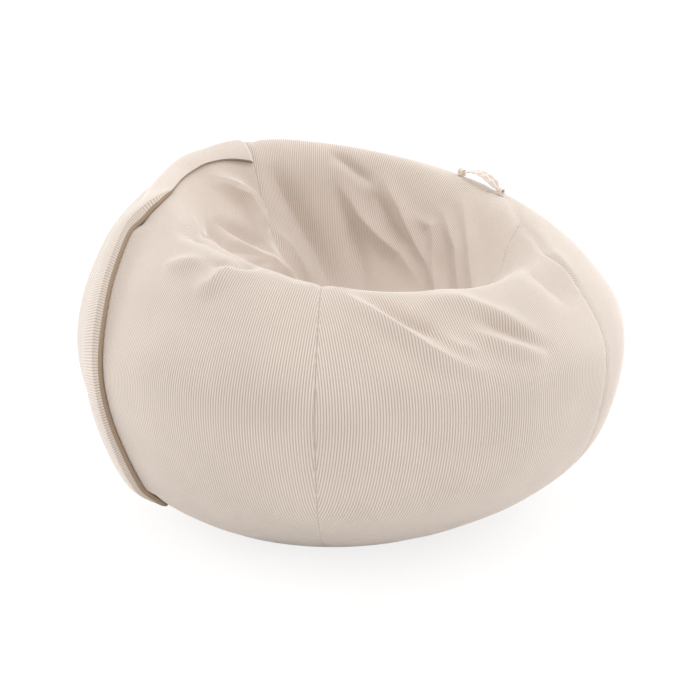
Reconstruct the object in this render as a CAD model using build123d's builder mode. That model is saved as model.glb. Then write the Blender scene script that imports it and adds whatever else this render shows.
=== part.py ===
# Bean bag chair: six sewn cord panels round a lined filling, a zip under a flap, and a carry handle.
# Millimetres, +Z up, the floor at z = 0, the sitter faces -Y.
import os
from collections import namedtuple
from math import asin, cos, degrees, hypot, radians, sin, sqrt

from build123d import *

os.makedirs("parts", exist_ok=True)

# The bag's rings, from the floor up the outside, over the crest and down to the middle of the seat hollow.
# Each ring is an ellipse: its height at its middle, its half sizes, how far back its middle lies,
# and its rise per millimetre towards the back.
Ring = namedtuple("Ring", "height half_width half_depth back rise")
floor_ring = Ring(height=0, half_width=330, half_depth=325, back=48, rise=0.0)
lower_ring = Ring(height=84, half_width=446, half_depth=445, back=26, rise=0.0)
flank_ring = Ring(height=195, half_width=518, half_depth=521, back=2, rise=0.0)
belly_ring = Ring(height=370, half_width=555, half_depth=545, back=2, rise=-0.02)
upper_ring = Ring(height=506, half_width=490, half_depth=495, back=18, rise=0.05)
shoulder_ring = Ring(height=588, half_width=398, half_depth=405, back=14, rise=0.14)
crest_ring = Ring(height=592, half_width=342, half_depth=358, back=18, rise=0.235)
rim_ring = Ring(height=545, half_width=296, half_depth=308, back=27, rise=0.30)
wall_ring = Ring(height=428, half_width=236, half_depth=237, back=42, rise=0.24)
seat_ring = Ring(height=345, half_width=125, half_depth=118, back=48, rise=0.11)
pole_ring = Ring(height=340, half_width=0, half_depth=0, back=48, rise=0.10)
rings = [
    floor_ring,
    lower_ring,
    flank_ring,
    belly_ring,
    upper_ring,
    shoulder_ring,
    crest_ring,
    rim_ring,
    wall_ring,
    seat_ring,
    pole_ring,
]
pole_place = len(rings) - 1
pole_back = pole_ring.back

# Lengths along the bag's profile, from the floor
ring_lengths = [0.0]
for below, above in zip(rings, rings[1:]):
    step_out = (above.half_width + above.half_depth - below.half_width - below.half_depth) / 2
    ring_lengths.append(ring_lengths[-1] + hypot(step_out, above.height - below.height))
profile_length = ring_lengths[-1]
form_steps = 72
form_top_gap = 8.0
form_top_length = profile_length - form_top_gap

# Layers, from the outside in
cover_thickness = 3.0
liner_thickness = 1.2
layer_gap = 0.9
filling_gap = 14.0
base_edge_gap = 2.8
liner_edge_gap = 6.5
seat_clearance = 0.3

# Seams as places on the bag: an azimuth about the middle of the hollow, 0 to the front and growing
# to the right, and a place along the rings, 0 at the floor
SeamPoint = namedtuple("SeamPoint", "azimuth place")
front_azimuth = -46.0
left_azimuth = -184.7
right_azimuth = 52.9
back_azimuth = 141.3
full_turn = 360.0
zip_seam = [
    SeamPoint(left_azimuth, 6.3),
    SeamPoint(-168.0, 6.2),
    SeamPoint(-146.0, 5.9),
    SeamPoint(-124.0, 5.4),
    SeamPoint(-111.0, 4.5),
    SeamPoint(-102.0, 3.6),
    SeamPoint(-98.0, 2.6),
    SeamPoint(-96.0, 1.3),
    SeamPoint(-95.0, 0.0),
]
right_seam = [
    SeamPoint(15.0, 0.0),
    SeamPoint(16.0, 1.5),
    SeamPoint(18.5, 3.0),
    SeamPoint(22.5, 4.0),
    SeamPoint(28.0, 5.0),
    SeamPoint(41.0, 5.5),
    SeamPoint(right_azimuth, 5.8),
]
right_back_seam = [
    SeamPoint(right_azimuth, 5.8),
    SeamPoint(75.0, 5.2),
    SeamPoint(100.0, 4.4),
    SeamPoint(122.0, 3.6),
    SeamPoint(back_azimuth, 2.85),
]
left_back_seam = [
    SeamPoint(back_azimuth, 2.85),
    SeamPoint(152.0, 3.9),
    SeamPoint(163.0, 5.1),
    SeamPoint(left_azimuth + full_turn, 6.3),
]
seam_gap = 0.8
tip_place = 0.12
column_turn = 7.0
column_rise = 40.0
column_least = 0.1
middle_gap = 12.0
section_points = 25

# Ground that pieces are cut to sit on
zip_ground_azimuths = (-170.0, -70.0)
zip_ground_places = (0.1, 6.6)
handle_ground_azimuths = (50.0, 115.0)
handle_ground_places = (3.6, 7.0)
ground_depth = 26.0
ground_clearance = 2.0

# Zip: an arc about a fixed axis, laid along the left flank and tilted to the surface
zip_centre = Vector(-216, 215, 303)
zip_axis = Vector(0.315, -0.933, 0.174).normalized()
zip_radius = 350.0
zip_tilt = 24.0
zip_upper_angle = -58.0
zip_lower_angle = 35.0
tape_width = 16.0
tape_thickness = 0.8
tape_gap = 0.3
coil_radius = 1.3
coil_seat = 0.05
stop_length = 4.0
stop_half_width = 3.2
placket_half_width = 20.0
strip_depth = 22.0
strip_margin = 2.0

# Zip slider and its pull
slider_length = 12.0
slider_half_width = 5.0
slider_plate = 1.5
slider_flange = 1.6
slider_clearance = 0.4
slider_rest_gap = 1.0
lug_thickness = 1.4
lug_half_length = 2.2
pull_width = 4.6
pull_length = 22.0
pull_thickness = 1.4
pull_gap = 0.3
pin_radius = 0.7
pin_clearance = 0.05
eye_radius = 1.5

# Flap over the zip, held along its rear edge and open to the front
flap_upper_angle = -98.0
flap_lower_angle = 44.0
flap_thickness = 2.6
flap_clearance = 0.6
flap_rear_reach = 26.0
flap_front_reach = 19.0

# Carry handle on the right crest
handle_span = 104.0
handle_rise = 16.0
handle_thickness = 3.0
handle_width = 30.0
handle_end_width = 13.0
handle_straight = 18.0
handle_front_azimuth = 73.0
handle_rear_azimuth = 92.0
handle_place = 5.4
handle_axis_height = 10.0
handle_cord_radius = 3.0
handle_cord_clearance = 0.3
loop_length = 14.0
loop_wall = 2.4
loop_gap = 1.0
loop_depth = 30.0

# Blank care label in the back seam
label_low_place = 1.1
label_high_place = 1.5
label_steps = 4
label_gap = 0.4
label_reach = 26.0
label_thickness = 0.8


def slope_at(spots, values, index):
    """The slope of a smooth curve at one of its points."""
    first = max(index - 1, 0)
    last = min(index + 1, len(values) - 1)
    return (values[last] - values[first]) / (spots[last] - spots[first])


def between(spots, values, spot):
    """A smooth curve through values at rising spots, read at a spot along them."""
    index = max(step for step in range(len(spots) - 1) if step == 0 or spots[step] <= spot)
    span = spots[index + 1] - spots[index]
    share = (spot - spots[index]) / span
    rise = values[index + 1] - values[index]
    leave = slope_at(spots, values, index) * span
    arrive = slope_at(spots, values, index + 1) * span
    bend = 3 * rise - 2 * leave - arrive
    twist = leave + arrive - 2 * rise
    return values[index] + share * (leave + share * (bend + share * twist))


def ring_at(length):
    """The ring at a length along the bag's profile."""
    return Ring(*(between(ring_lengths, values, length) for values in zip(*rings)))


def length_at(place):
    """The length along the profile at a place between two rings."""
    index = min(int(place), pole_place - 1)
    return ring_lengths[index] + (place - index) * (ring_lengths[index + 1] - ring_lengths[index])


def bag_point(azimuth, length):
    """The point of the bag's outer surface at an azimuth and a length along the profile."""
    ring = ring_at(length)
    side = sin(radians(azimuth))
    back = -cos(radians(azimuth))
    shift = (pole_back - ring.back) / ring.half_depth
    slope = back / ring.half_depth
    square = (side / ring.half_width) ** 2 + slope**2
    reach = (sqrt((slope * shift) ** 2 - square * (shift**2 - 1)) - slope * shift) / square
    y = pole_back + reach * back
    return Vector(reach * side, y, ring.height + ring.rise * (y - ring.back))


def seam_height(seam, azimuth):
    """The length along the profile at which a seam crosses an azimuth."""
    azimuths = [point.azimuth for point in seam]
    return length_at(max(0.0, between(azimuths, [point.place for point in seam], azimuth)))


def meridian_spot(azimuth, length, inset):
    """A point of the bag in the upright plane at an azimuth: its reach from the middle and its height."""
    step = 0.2
    spots = []
    for spot_length in (length - step, length, length + step):
        point = bag_point(azimuth, min(max(spot_length, 0.0), profile_length - step))
        spots.append(Vector(hypot(point.X, point.Y - pole_back), point.Z))
    along = (spots[2] - spots[0]).normalized()
    return spots[1] + Vector(-along.Y, along.X) * inset


def columns_between(first_azimuth, last_azimuth, low, high):
    """Azimuths from first to last, with the lengths where a sheet starts and ends at each of them.

    low and high give those lengths at an azimuth; columns lie closer where they change fast."""
    columns = []
    azimuth = first_azimuth
    while azimuth < last_azimuth:
        columns.append((azimuth, low(azimuth), high(azimuth)))
        turn = column_turn
        while turn > column_least and max(
            abs(low(min(azimuth + turn, last_azimuth)) - low(azimuth)),
            abs(high(min(azimuth + turn, last_azimuth)) - high(azimuth)),
        ) > column_rise:
            turn = turn / 2
        azimuth = azimuth + turn
    if last_azimuth - columns[-1][0] < column_least and len(columns) > 1:
        columns.pop()
    columns.append((last_azimuth, low(last_azimuth), high(last_azimuth)))
    return columns


def sheet(columns, inset, thickness, gap):
    """A curved sheet through sections in upright planes, moved in from the bag's surface by inset."""
    with BuildPart() as curved:
        for index, (azimuth, low, high) in enumerate(columns):
            shift = gap / 2 if index == 0 else -gap / 2 if index == len(columns) - 1 else 0.0
            out = Vector(sin(radians(azimuth)), -cos(radians(azimuth)), 0)
            turn = Vector(cos(radians(azimuth)), sin(radians(azimuth)), 0)
            first = low + gap / 2
            span = high - low - gap
            lengths = [first + span * step / (section_points - 1) for step in range(section_points)]
            outer = [meridian_spot(azimuth, length, inset) for length in lengths]
            inner = [meridian_spot(azimuth, length, inset + thickness) for length in lengths]
            outer_points = [(spot.X, spot.Y) for spot in outer]
            inner_points = [(spot.X, spot.Y) for spot in reversed(inner)]
            middle = Vector(0, pole_back, 0) + turn * shift
            with BuildSketch(Plane(origin=middle, x_dir=out, z_dir=out.cross(Vector(0, 0, 1)))):
                with BuildLine():
                    Spline(*outer_points)
                    Line(outer_points[-1], inner_points[0])
                    Spline(*inner_points)
                    Line(inner_points[-1], outer_points[0])
                make_face()
        loft(ruled=True)
    return curved.part


def profile_offset(profile, index, inset):
    """How far ring number index moves out and up when the surface moves in by inset."""
    before = profile[max(index - 1, 0)]
    after = profile[min(index + 1, len(profile) - 1)]
    run_out = (after.half_width + after.half_depth - before.half_width - before.half_depth) / 2
    run_up = after.height - before.height
    run = hypot(run_out, run_up)
    out = run_out / run
    up = run_up / run
    return -inset * up, inset * out


def bag_form(inset, floor_height):
    """The whole bag as one solid, moved in from its outer surface by inset, flat at floor_height."""
    lengths = [form_top_length * step / form_steps for step in range(form_steps + 1)]
    profile = [ring_at(length) for length in lengths]
    with BuildPart() as form:
        for index, ring in enumerate(profile):
            out, lift = profile_offset(profile, index, inset)
            height = ring.height + lift if index else floor_height
            with BuildSketch(Plane(origin=(0, ring.back, height), x_dir=(1, 0, 0), z_dir=(0, -ring.rise, 1))):
                Ellipse(ring.half_width + out, (ring.half_depth + out) * hypot(1, ring.rise))
        loft(ruled=True)
    return form.part


def ground(azimuths, places):
    """The bag's surface between two azimuths and two places, as a thick sheet to sit pieces on."""
    low, high = (length_at(place) for place in places)
    columns = columns_between(*azimuths, lambda azimuth: low, lambda azimuth: high)
    return sheet(columns, -ground_clearance, ground_depth, 0.0)


def largest_solid(part):
    return part.solids().sort_by(SortBy.VOLUME)[-1]


def rectangle(low_x, high_x, low_y, high_y):
    return [(low_x, low_y), (high_x, low_y), (high_x, high_y), (low_x, high_y)]


def zip_radial(angle):
    """The way from the zip's axis to its arc, level at angle 0 and downwards as the angle grows."""
    level = Vector(zip_axis.Y, -zip_axis.X, 0).normalized()
    down = zip_axis.cross(level)
    return level * cos(radians(angle)) + down * sin(radians(angle))


def zip_section(angle):
    """The plane across the zip at an angle: x across towards the front panel, y away from the bag."""
    radial = zip_radial(angle)
    across = zip_axis * cos(radians(zip_tilt)) + radial * sin(radians(zip_tilt))
    away = radial * cos(radians(zip_tilt)) - zip_axis * sin(radians(zip_tilt))
    return Plane(origin=zip_centre + radial * zip_radius, x_dir=across, z_dir=across.cross(away))


def arc_angle(length):
    """The angle of the zip's arc that a length along it takes."""
    return degrees(length / zip_radius)


def zip_strip(corners, first_angle, last_angle):
    """A strip with this section along the zip's arc."""
    with BuildPart() as strip:
        with BuildSketch(zip_section(first_angle)):
            with BuildLine():
                Polyline(*corners, close=True)
            make_face()
        revolve(axis=Axis(zip_centre, zip_axis), revolution_arc=last_angle - first_angle)
    return strip.part


def seated_strip(corners, first_angle, last_angle):
    """A strip along the zip's arc, cut to sit on the bag."""
    with BuildPart() as strip:
        add(zip_strip(corners, first_angle, last_angle))
        add(zip_ground, mode=Mode.SUBTRACT)
    return largest_solid(strip.part)


def save(piece, name):
    piece.label = name
    export_step(piece, f"parts/{name}.step")


liner_inset = cover_thickness + layer_gap
liner_inner = liner_inset + liner_thickness
filling_inset = liner_inner + filling_gap

# Cover: six panels, each between its own seams
def at_floor(azimuth):
    return 0.0


def at_middle(azimuth):
    return profile_length - middle_gap


def left_front_low(azimuth):
    return seam_height(zip_seam, azimuth) if azimuth < zip_seam[-1].azimuth else 0.0


def right_front_low(azimuth):
    return seam_height(right_seam, azimuth) if azimuth > right_seam[0].azimuth else 0.0


def right_rear_high(azimuth):
    return max(tip_length, seam_height(right_seam if azimuth < right_azimuth else right_back_seam, azimuth))


def seat_back_low(azimuth):
    return seam_height(right_back_seam if azimuth < back_azimuth else left_back_seam, azimuth)


def left_rear_high(azimuth):
    left = left_azimuth + full_turn
    seam_place = seam_height(left_back_seam, azimuth) if azimuth < left else seam_height(zip_seam, azimuth - full_turn)
    return max(tip_length, seam_place)


tip_length = length_at(tip_place)
zip_floor = zip_seam[-1].azimuth
right_floor = right_seam[0].azimuth
panel_columns = {
    "left_front": columns_between(left_azimuth, zip_floor, left_front_low, at_middle)[:-1]
    + columns_between(zip_floor, front_azimuth, at_floor, at_middle),
    "right_front": columns_between(front_azimuth, right_floor, at_floor, at_middle)[:-1]
    + columns_between(right_floor, right_azimuth, right_front_low, at_middle),
    "seat_back": columns_between(right_azimuth, back_azimuth, seat_back_low, at_middle)[:-1]
    + columns_between(back_azimuth, left_azimuth + full_turn, seat_back_low, at_middle),
    "left_rear": columns_between(back_azimuth, left_azimuth + full_turn, at_floor, left_rear_high)[:-1]
    + columns_between(left_azimuth + full_turn, zip_floor + full_turn, at_floor, left_rear_high),
    "right_rear": columns_between(right_floor, right_azimuth, at_floor, right_rear_high)[:-1]
    + columns_between(right_azimuth, back_azimuth, at_floor, right_rear_high),
}
for place_name, columns in panel_columns.items():
    with BuildPart() as panel:
        add(sheet(columns, 0, cover_thickness, seam_gap))
    save(panel.part, f"{place_name}_panel")

with BuildPart() as base_panel:
    with BuildSketch(Plane(origin=(0, floor_ring.back, 0))):
        Ellipse(floor_ring.half_width - base_edge_gap, floor_ring.half_depth - base_edge_gap)
    extrude(amount=cover_thickness)
save(base_panel.part, "base_panel")

# Liner: a thin inner bag sewn to the cover's pattern
for place_name, columns in panel_columns.items():
    with BuildPart() as liner:
        add(sheet(columns, liner_inset, liner_thickness, seam_gap))
    save(liner.part, f"{place_name}_liner")
with BuildPart() as base_liner:
    with BuildSketch(Plane(origin=(0, floor_ring.back, liner_inset))):
        Ellipse(floor_ring.half_width - liner_edge_gap, floor_ring.half_depth - liner_edge_gap)
    extrude(amount=liner_thickness)
save(base_liner.part, "base_liner")

# Filling: loose beads, as one closed mass
with BuildPart() as bead_filling:
    add(bag_form(filling_inset, liner_inner + seat_clearance))
save(bead_filling.part, "bead_filling")

# The bag's surface under the zip and under the handle, as thick sheets that other pieces are cut to sit on
zip_ground = ground(zip_ground_azimuths, zip_ground_places)
handle_ground = ground(handle_ground_azimuths, handle_ground_places)

# Zip placket: the strip that the zip is sewn to
with BuildPart() as zip_placket:
    add(
        seated_strip(
            rectangle(-placket_half_width, placket_half_width, -strip_depth, 0),
            zip_upper_angle - arc_angle(strip_margin),
            zip_lower_angle + arc_angle(strip_margin),
        )
    )
save(zip_placket.part, "zip_placket")

# Zip tapes and coils, one of each on either side of the zip's middle
coil_middle = tape_thickness + coil_seat + coil_radius
coil_top = coil_middle + coil_radius
stop_angle = arc_angle(stop_length)
coil_upper_angle = zip_upper_angle + stop_angle + arc_angle(strip_margin)
coil_lower_angle = zip_lower_angle - stop_angle - arc_angle(strip_margin)
for side, side_name in ((1, "front"), (-1, "rear")):
    inner_edge = side * tape_gap / 2
    outer_edge = side * (tape_gap / 2 + tape_width)
    with BuildPart() as zip_tape:
        add(
            zip_strip(
                rectangle(min(inner_edge, outer_edge), max(inner_edge, outer_edge), 0, tape_thickness),
                zip_upper_angle,
                zip_lower_angle,
            )
        )
    save(zip_tape.part, f"zip_tape_{side_name}")
    with BuildPart() as zip_coil:
        with BuildSketch(zip_section(coil_upper_angle)):
            with Locations((inner_edge + side * coil_radius, coil_middle)):
                Circle(coil_radius)
        revolve(axis=Axis(zip_centre, zip_axis), revolution_arc=coil_lower_angle - coil_upper_angle)
    save(zip_coil.part, f"zip_coil_{side_name}")

# Zip stops: a crimped block at either end of the coils
stop_section = rectangle(-stop_half_width, stop_half_width, tape_thickness + coil_seat, coil_top)
with BuildPart() as zip_top_stop:
    add(zip_strip(stop_section, zip_upper_angle, zip_upper_angle + stop_angle))
save(zip_top_stop.part, "zip_top_stop")
with BuildPart() as zip_bottom_stop:
    add(zip_strip(stop_section, zip_lower_angle - stop_angle, zip_lower_angle))
save(zip_bottom_stop.part, "zip_bottom_stop")

# Zip slider: a plate with two flanges over the coils, and two lugs that hold a pin
plate_low = coil_top + slider_clearance
plate_top = plate_low + slider_plate
flange_low = tape_thickness + slider_clearance
pin_height = plate_top + eye_radius + pull_gap
lug_inner = pull_width / 2 + pull_gap
slider_angle = coil_upper_angle + arc_angle(slider_rest_gap + slider_length / 2)
slider_plane = zip_section(slider_angle)
with BuildPart() as zip_slider:
    with BuildSketch(slider_plane):
        with BuildLine():
            Polyline(*rectangle(-slider_half_width, slider_half_width, plate_low, plate_top), close=True)
        make_face()
    extrude(amount=slider_length / 2, both=True)
    fillet(zip_slider.edges().filter_by(Axis(slider_plane.origin, slider_plane.y_dir)), radius=slider_flange)
    for side in (1, -1):
        flange_middle = side * (slider_half_width - slider_flange / 2)
        flange_height = plate_low - flange_low
        with BuildSketch(slider_plane):
            with Locations((flange_middle, plate_low - flange_height / 2)):
                Rectangle(slider_flange, flange_height)
        extrude(amount=slider_length / 2 - slider_flange, both=True)
        lug_middle = side * (lug_inner + lug_thickness / 2)
        lug_height = pin_height - plate_top
        with BuildSketch(slider_plane):
            with Locations((lug_middle, plate_top + (lug_height + eye_radius) / 2)):
                Rectangle(lug_thickness, lug_height + eye_radius)
        extrude(amount=lug_half_length, both=True)
    pin_plane = Plane(
        origin=slider_plane.from_local_coords((0, pin_height, 0)),
        x_dir=slider_plane.z_dir,
        z_dir=slider_plane.x_dir,
    )
    with BuildSketch(pin_plane):
        Circle(pin_radius)
    extrude(amount=lug_inner + lug_thickness, both=True)
save(zip_slider.part, "zip_slider")

# Zip pull: an eye round the pin and a flat tab that lies along the zip
with BuildPart() as zip_pull:
    with BuildSketch(pin_plane):
        Circle(eye_radius)
        with Locations((pull_length / 2, 0)):
            Rectangle(pull_length, pull_thickness)
    extrude(amount=pull_width / 2, both=True)
    with BuildSketch(pin_plane):
        Circle(pin_radius + pin_clearance)
    extrude(amount=pull_width / 2, both=True, mode=Mode.SUBTRACT)
save(zip_pull.part, "zip_pull")

# Zip flap: a strip over the zip with a foot along its rear edge
flap_low = pin_height + eye_radius + flap_clearance
flap_top = flap_low + flap_thickness
with BuildPart() as zip_flap:
    add(
        seated_strip(
            [
                (-flap_rear_reach, -strip_depth),
                (flap_thickness - flap_rear_reach, -strip_depth),
                (flap_thickness - flap_rear_reach, flap_low),
                (flap_front_reach, flap_low),
                (flap_front_reach, flap_top),
                (-flap_rear_reach, flap_top),
            ],
            flap_upper_angle,
            flap_lower_angle,
        )
    )
save(zip_flap.part, "zip_flap")

# Carry handle: a band between two corded ends that turn in sewn loops
front_seat = bag_point(handle_front_azimuth, length_at(handle_place))
rear_seat = bag_point(handle_rear_azimuth, length_at(handle_place))
handle_along = (rear_seat - front_seat).normalized()
handle_side = handle_along.cross(Vector(0, 0, 1)).normalized()
handle_up = handle_side.cross(handle_along)
handle_middle = (front_seat + rear_seat) / 2 + handle_up * handle_axis_height
handle_plane = Plane(origin=handle_middle, x_dir=handle_along, z_dir=handle_side)
handle_plan = Plane(origin=handle_middle, x_dir=handle_along, z_dir=handle_up)
half_span = handle_span / 2
arch_radius = (half_span**2 + handle_rise**2) / (2 * handle_rise)
arch_centre = (0, handle_rise - arch_radius)
arch_half_angle = degrees(asin(half_span / arch_radius))
arch_start = full_turn / 4 - arch_half_angle
loop_start = half_span + loop_gap
loop_end = loop_start + loop_length
with BuildPart() as carry_handle:
    with BuildSketch(handle_plane):
        with BuildLine():
            inner_arc = CenterArc(arch_centre, arch_radius - handle_thickness / 2, arch_start, 2 * arch_half_angle)
            outer_arc = CenterArc(arch_centre, arch_radius + handle_thickness / 2, arch_start, 2 * arch_half_angle)
            Line(inner_arc @ 0, outer_arc @ 0)
            Line(inner_arc @ 1, outer_arc @ 1)
        make_face()
    extrude(amount=handle_width / 2, both=True)
    with BuildSketch(handle_plan):
        with BuildLine():
            Polyline(
                (loop_end, handle_end_width / 2),
                (half_span, handle_end_width / 2),
                (handle_straight, handle_width / 2),
                (-handle_straight, handle_width / 2),
                (-half_span, handle_end_width / 2),
                (-loop_end, handle_end_width / 2),
                (-loop_end, -handle_end_width / 2),
                (-half_span, -handle_end_width / 2),
                (-handle_straight, -handle_width / 2),
                (handle_straight, -handle_width / 2),
                (half_span, -handle_end_width / 2),
                (loop_end, -handle_end_width / 2),
                close=True,
            )
        make_face()
    extrude(amount=arch_radius, both=True, mode=Mode.INTERSECT)
    for side in (1, -1):
        cord_start = handle_middle + handle_along * (side * (half_span - handle_cord_radius))
        with BuildSketch(Plane(origin=cord_start, x_dir=handle_side, z_dir=handle_along * side)):
            Circle(handle_cord_radius)
        extrude(amount=handle_cord_radius + loop_gap + loop_length)
save(carry_handle.part, "carry_handle")

# Handle loops: sewn to the cover, each round one corded end
loop_bore = handle_cord_radius + handle_cord_clearance
loop_outer = loop_bore + loop_wall
for side, side_name in ((-1, "front"), (1, "rear")):
    loop_face = Plane(
        origin=handle_middle + handle_along * (side * loop_start),
        x_dir=handle_side,
        z_dir=handle_along * side,
    )
    foot_way = -1 if loop_face.y_dir.Z > 0 else 1
    with BuildPart() as handle_loop:
        with BuildSketch(loop_face):
            Circle(loop_outer)
            with Locations((0, foot_way * loop_depth / 2)):
                Rectangle(2 * loop_outer, loop_depth)
            Circle(loop_bore, mode=Mode.SUBTRACT)
        extrude(amount=loop_length)
        add(handle_ground, mode=Mode.SUBTRACT)
    save(largest_solid(handle_loop.part), f"handle_loop_{side_name}")

# Care label: a blank strip caught in the back seam
label_plane = Plane(
    origin=(0, pole_back, 0),
    x_dir=(sin(radians(back_azimuth)), -cos(radians(back_azimuth)), 0),
    z_dir=(-cos(radians(back_azimuth)), -sin(radians(back_azimuth)), 0),
)
label_edge = []
for step in range(label_steps + 1):
    label_place = label_low_place + (label_high_place - label_low_place) * step / label_steps
    label_spot = bag_point(back_azimuth, length_at(label_place))
    label_edge.append((hypot(label_spot.X, label_spot.Y - pole_back) + label_gap, label_spot.Z))
with BuildPart() as care_label:
    with BuildSketch(label_plane):
        with BuildLine():
            Polyline(*label_edge, *((reach + label_reach, height) for reach, height in reversed(label_edge)), close=True)
        make_face()
    extrude(amount=label_thickness / 2, both=True)
save(care_label.part, "care_label")
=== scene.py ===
# Bean bag chair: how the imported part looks. Metres, +Z up, the sitter faces -Y.
import math
from collections import namedtuple

import bpy
import numpy as np
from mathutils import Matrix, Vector
from mathutils.kdtree import KDTree


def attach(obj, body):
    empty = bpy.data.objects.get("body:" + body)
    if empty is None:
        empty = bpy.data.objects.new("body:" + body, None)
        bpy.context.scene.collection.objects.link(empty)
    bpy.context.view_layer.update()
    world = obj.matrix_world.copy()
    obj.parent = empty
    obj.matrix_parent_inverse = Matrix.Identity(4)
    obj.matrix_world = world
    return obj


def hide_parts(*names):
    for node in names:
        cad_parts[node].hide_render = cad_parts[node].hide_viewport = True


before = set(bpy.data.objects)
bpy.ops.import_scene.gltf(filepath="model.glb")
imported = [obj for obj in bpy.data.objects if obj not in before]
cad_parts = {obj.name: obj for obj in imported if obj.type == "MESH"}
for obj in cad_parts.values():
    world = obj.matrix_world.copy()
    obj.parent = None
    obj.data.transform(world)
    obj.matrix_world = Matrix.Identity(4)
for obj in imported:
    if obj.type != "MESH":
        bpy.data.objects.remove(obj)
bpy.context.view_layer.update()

millimetre = 0.001

# The bag's rings in millimetres, as in the part's source
Ring = namedtuple("Ring", "height half_width half_depth back rise")
rings = [
    Ring(height=0, half_width=330, half_depth=325, back=48, rise=0.0),
    Ring(height=84, half_width=446, half_depth=445, back=26, rise=0.0),
    Ring(height=195, half_width=518, half_depth=521, back=2, rise=0.0),
    Ring(height=370, half_width=555, half_depth=545, back=2, rise=-0.02),
    Ring(height=506, half_width=490, half_depth=495, back=18, rise=0.05),
    Ring(height=588, half_width=398, half_depth=405, back=14, rise=0.14),
    Ring(height=592, half_width=342, half_depth=358, back=18, rise=0.235),
    Ring(height=545, half_width=296, half_depth=308, back=27, rise=0.30),
    Ring(height=428, half_width=236, half_depth=237, back=42, rise=0.24),
    Ring(height=345, half_width=125, half_depth=118, back=48, rise=0.11),
    Ring(height=340, half_width=0.01, half_depth=0.01, back=48, rise=0.10),
]
pole_back = 48.0
ring_columns = np.array(rings, float)
ring_steps = np.hypot(np.diff((ring_columns[:, 1] + ring_columns[:, 2]) / 2), np.diff(ring_columns[:, 0]))
ring_lengths = np.concatenate(([0.0], np.cumsum(ring_steps)))
profile_length = ring_lengths[-1]
middle_gap = 4.0

# Seams: azimuths about the middle of the hollow, and places along the rings
front_azimuth = -46.0
left_azimuth = -184.7
right_azimuth = 52.9
back_azimuth = 141.3
full_turn = 360.0
back_corner_place = 2.85
left_corner_place = 6.3
right_corner_place = 5.8
zip_seam = [
    (left_azimuth, left_corner_place), (-168.0, 6.2), (-146.0, 5.9), (-124.0, 5.4), (-111.0, 4.5),
    (-102.0, 3.6), (-98.0, 2.6), (-96.0, 1.3), (-95.0, 0.0),
]
right_seam = [
    (15.0, 0.0), (16.0, 1.5), (18.5, 3.0), (22.5, 4.0), (28.0, 5.0), (41.0, 5.5),
    (right_azimuth, right_corner_place),
]
right_back_seam = [
    (right_azimuth, right_corner_place), (75.0, 5.2), (100.0, 4.4), (122.0, 3.6),
    (back_azimuth, back_corner_place),
]
left_back_seam = [
    (back_azimuth, back_corner_place), (152.0, 3.9), (163.0, 5.1),
    (left_azimuth + full_turn, left_corner_place),
]

# The right seat seam leans to the front as it runs down into the hollow: places and azimuths
right_seat_seam = [
    (0.0, right_azimuth), (right_corner_place, right_azimuth), (6.5, 44.4), (6.8, 33.0), (7.6, 26.0),
    (10.0, 24.0),
]
# The left arm slopes gently into the hollow: lift at each ring, and the azimuths it fades between
arm_lift = [0, 0, 0, 0, 0, 0, 0, 18, 84, 88, 0]
arm_fade_rear = (-200.0, -165.0)
arm_fade_front = (-74.0, -104.0)

# The zip lies on a circle in a tilted plane: its middle, axis, radius and ends, as in the part's source
zip_middle = np.array((-216.0, 215.0, 303.0))
zip_axis = np.array((0.315, -0.933, 0.174))
zip_radius = 350.0
zip_first_angle = -64.0
zip_last_angle = 41.0
zip_swell_width = 42.0
zip_sink = 1.4
zip_end_share = 0.07

# The zip flap: distances down the seam from the top corner, and its reach to the free edge there
flap_reaches = [(0.0, 54.0), (150.0, 48.0), (300.0, 40.0), (450.0, 31.0), (600.0, 25.0), (1200.0, 21.0)]
flap_height = 9.0
flap_zip_height = 12.2
flap_thickness = 3.4
flap_foot_place = 0.75
flap_foot_round = 22.0
flap_hem_gap = 1.0
flap_hem_height = 9.0
flap_zip_reach = 21.0
flap_ease = 60.0
flap_root = 48.0
flap_top_wave = 1.6
flap_top_wave_length = 23.0
flap_edge_wave = 2.0
flap_edge_wave_length = 31.0
flap_wave_fade = (420.0, 120.0)
flap_start_fade = (-4.0, 14.0)
flap_foot_share = 0.35
flap_foot_rise = 0.7
flap_reach_smoothing = 40.0
flap_hem_smoothing = 20.0
flap_way_smoothing = 24.0

# Cord
wale_pitch = 4.9
wale_height = 0.9
wale_samples = 4
panel_rows = 170
seam_depth = 2.6
seam_width = 9.0
seam_overlap = 3.0
wale_level = 0.7
wale_seam_fade = 1.8
floor_fade = 30.0
panel_floor_gap = 0.4
flap_floor_gap = 0.6
far_from_seam = 30.0
line_samples = 900
crossing_overlap = 0.004
patch_samples = 13
# The panel that also covers the spot where the seat seams meet
middle_panel = "seat_back_cord"

# Camera, from the outline of the bag in the photo
camera_azimuth = -42.53
camera_elevation = 18.12
camera_distance = 3.6
camera_target = Vector((0.0, 0.028, 0.33))
image_size = 700
focal_pixels = 1754.8
image_middle = (342.6, 335.6)
sensor_width = 36.0


def smooth(spots, values, at):
    """A smooth curve through values at rising spots, read at many places."""
    spots = np.asarray(spots, float)
    values = np.asarray(values, float)
    count = len(spots)
    before = np.maximum(np.arange(count) - 1, 0)
    after = np.minimum(np.arange(count) + 1, count - 1)
    slopes = (values[after] - values[before]) / (spots[after] - spots[before])
    index = np.clip(np.searchsorted(spots, at, side="right") - 1, 0, count - 2)
    span = spots[index + 1] - spots[index]
    share = (at - spots[index]) / span
    rise = values[index + 1] - values[index]
    leave = slopes[index] * span
    arrive = slopes[index + 1] * span
    return values[index] + share * (
        leave + share * (3 * rise - 2 * leave - arrive + share * (leave + arrive - 2 * rise))
    )


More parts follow.
